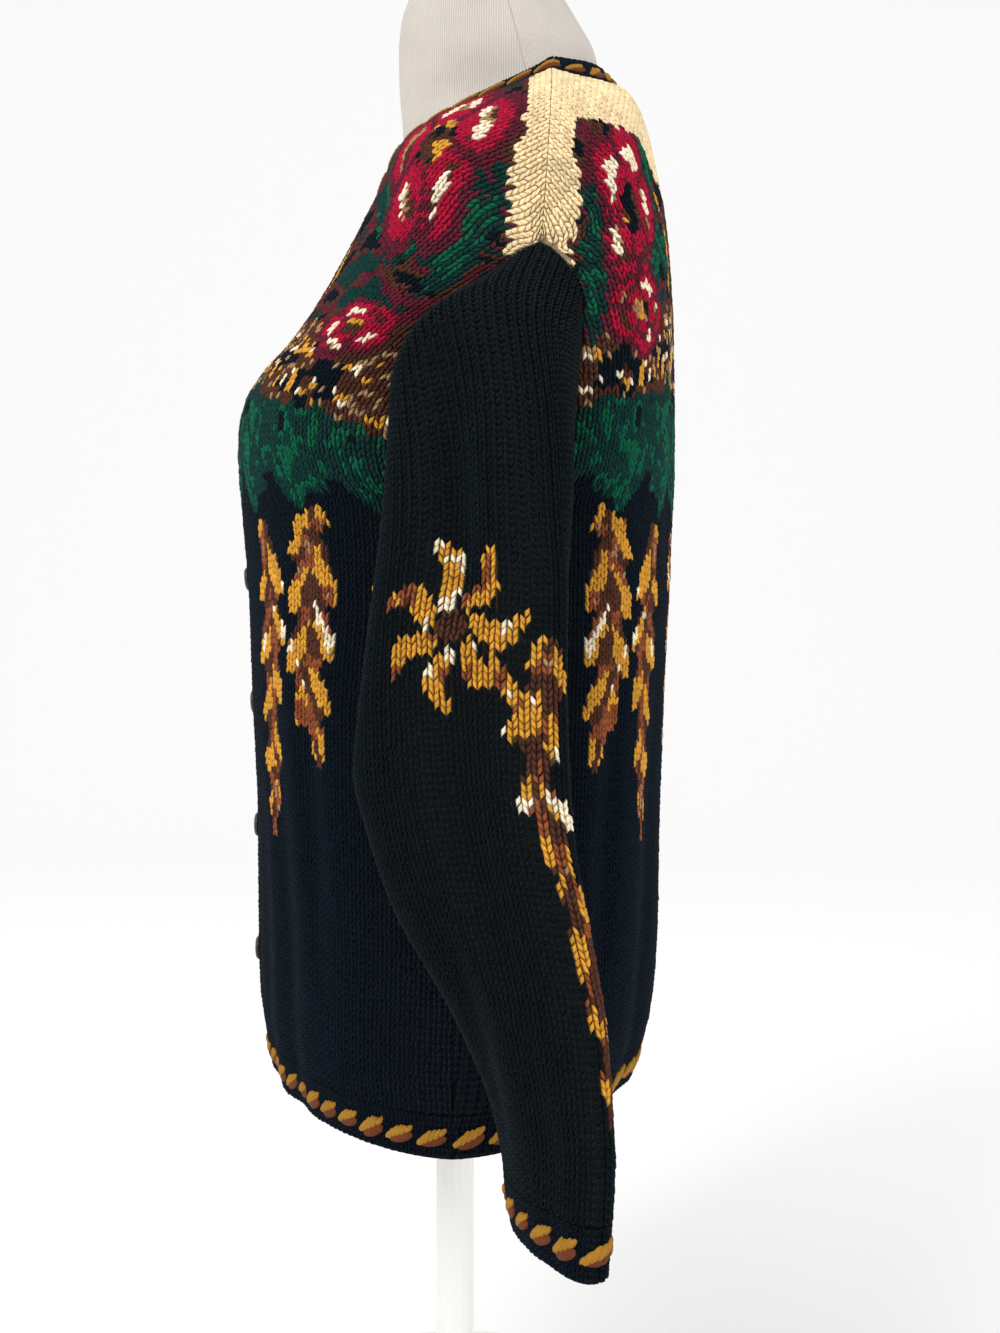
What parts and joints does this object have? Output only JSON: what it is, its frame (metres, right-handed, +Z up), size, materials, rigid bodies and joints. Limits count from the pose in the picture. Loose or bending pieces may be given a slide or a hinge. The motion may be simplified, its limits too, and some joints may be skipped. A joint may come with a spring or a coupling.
{
  "type": "cardigan on a limbless dress form",
  "caption": "Buttoned V-neck knitted cardigan with hanging sleeves and roped edges, worn by a limbless linen dress form on a pole and a round base.",
  "frame": {"origin": "centre of the base's underside, which stands on the floor", "axes": "+Z up the pole to the neck, -Y out of the buttoned front, +X to the wearer's left sleeve"},
  "size_m": [0.6748, 0.3, 0.992],
  "materials": {
    "knit": "thick brushed wool knitting, matte",
    "rope": "thick wool knitting in a slanted rope of gold and rust on black, matte",
    "linen": "finely ribbed linen weave, matte",
    "button": "dark, softly polished",
    "stand": "satin white paint"
  },
  "bodies": {
    "root": {"back_panel": "knit", "front_left": "knit", "front_right": "knit", "sleeve_left": "knit", "sleeve_right": "knit", "front_band_left": "knit", "front_band_right": "knit", "hem_back": "rope", "hem_front_left": "rope", "hem_front_right": "rope", "cuff_left": "rope", "cuff_right": "rope", "neckband": "rope", "form": "linen", "button_1": "button", "button_2": "button", "button_3": "button", "button_4": "button", "button_5": "button", "pole": "stand", "base": "stand"}
  },
  "joints": []
}
